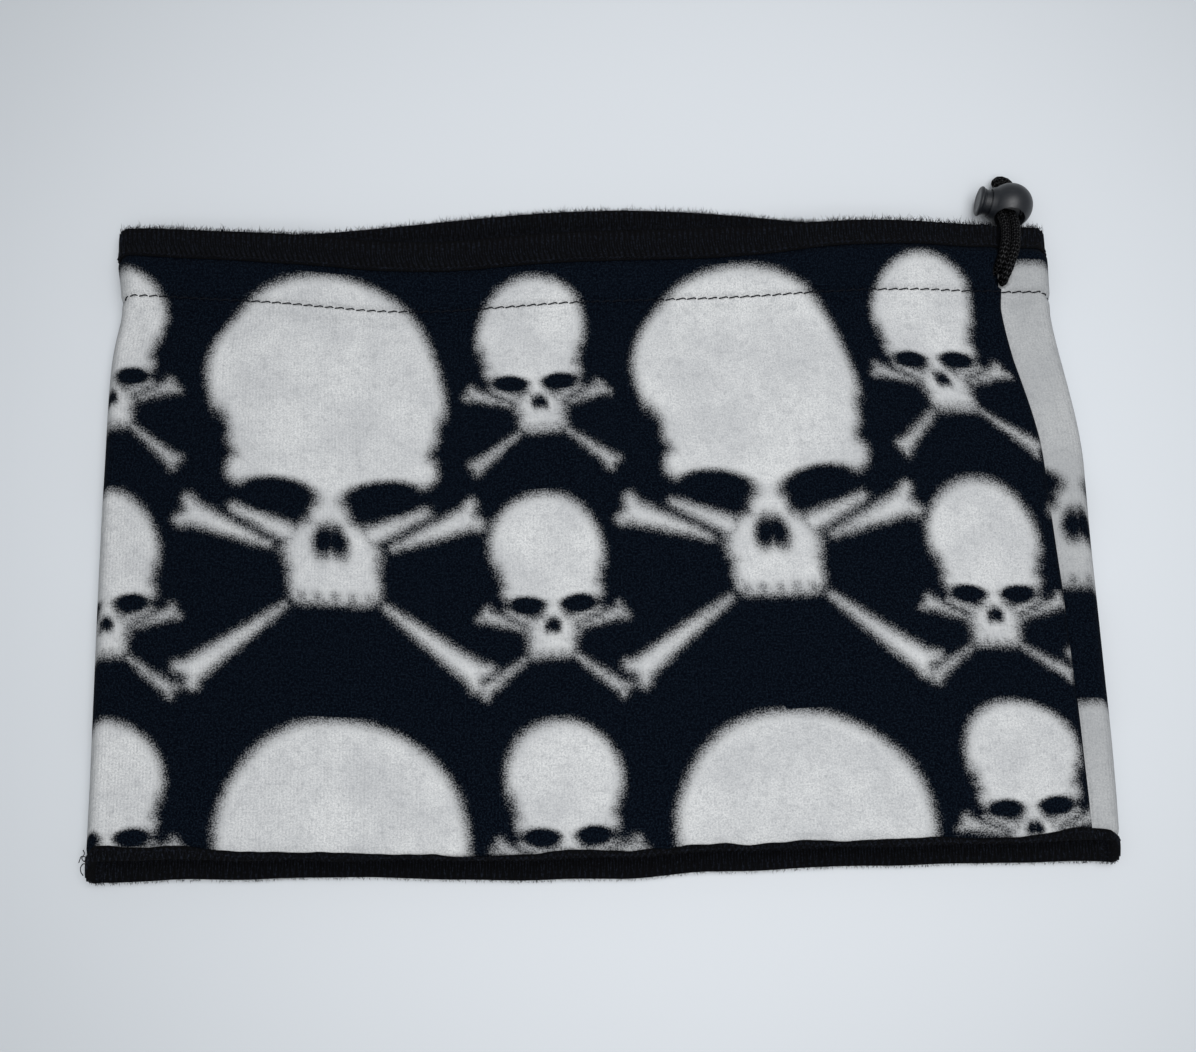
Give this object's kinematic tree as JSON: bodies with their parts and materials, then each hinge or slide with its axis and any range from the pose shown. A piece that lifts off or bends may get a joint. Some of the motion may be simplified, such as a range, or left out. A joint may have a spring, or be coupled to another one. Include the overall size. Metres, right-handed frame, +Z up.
{
  "type": "neck gaiter",
  "caption": "Soft printed fleece tube for the neck, lying flat, serged at both edges, with an elastic drawcord in a channel round the top and a ball-shaped cord lock on the cord's loop.",
  "frame": {"origin": "middle of the sleeve's footprint on the surface that it lies on, measured without the cord's loop and its lock", "axes": "+X across the sleeve from its left fold to its right fold, +Y from the lower edge to the drawcord edge, +Z up through the two layers"},
  "size_m": [0.2696, 0.1967, 0.0158],
  "materials": {
    "printed_fleece": "brushed fleece, pale print on a dark navy ground",
    "facing_cloth": "matte black cloth",
    "black_thread": "matte textured thread",
    "elastic_cord": "braided elastic",
    "lock_plastic": "fine matte moulding",
    "spring_steel": "drawn wire"
  },
  "bodies": {
    "sleeve": {"outer_panel": "printed_fleece", "channel_facing": "facing_cloth", "top_serging": "black_thread", "bottom_serging": "black_thread", "side_seam_serging": "black_thread", "channel_stitch_needle_thread": "black_thread", "channel_stitch_bobbin_thread": "black_thread", "drawcord_channel_run": "elastic_cord", "drawcord_loop": "elastic_cord"},
    "cord_lock": {"lock_body": "lock_plastic", "lock_spring": "spring_steel"},
    "plunger": {"lock_plunger": "lock_plastic"}
  },
  "joints": [
    {"name": "lock_pull", "type": "slide", "parent": "sleeve", "child": "cord_lock", "axis": [0.1736, 0.9848, 0], "range_m": [0, 0.025], "stiffness_N_per_m": 40, "deforming": ["drawcord_loop"]},
    {"name": "plunger_press", "type": "slide", "parent": "cord_lock", "child": "plunger", "axis": [0.9848, -0.1736, 0], "range_m": [0, 0.0018], "stiffness_N_per_m": 300, "deforming": ["lock_spring"]}
  ]
}
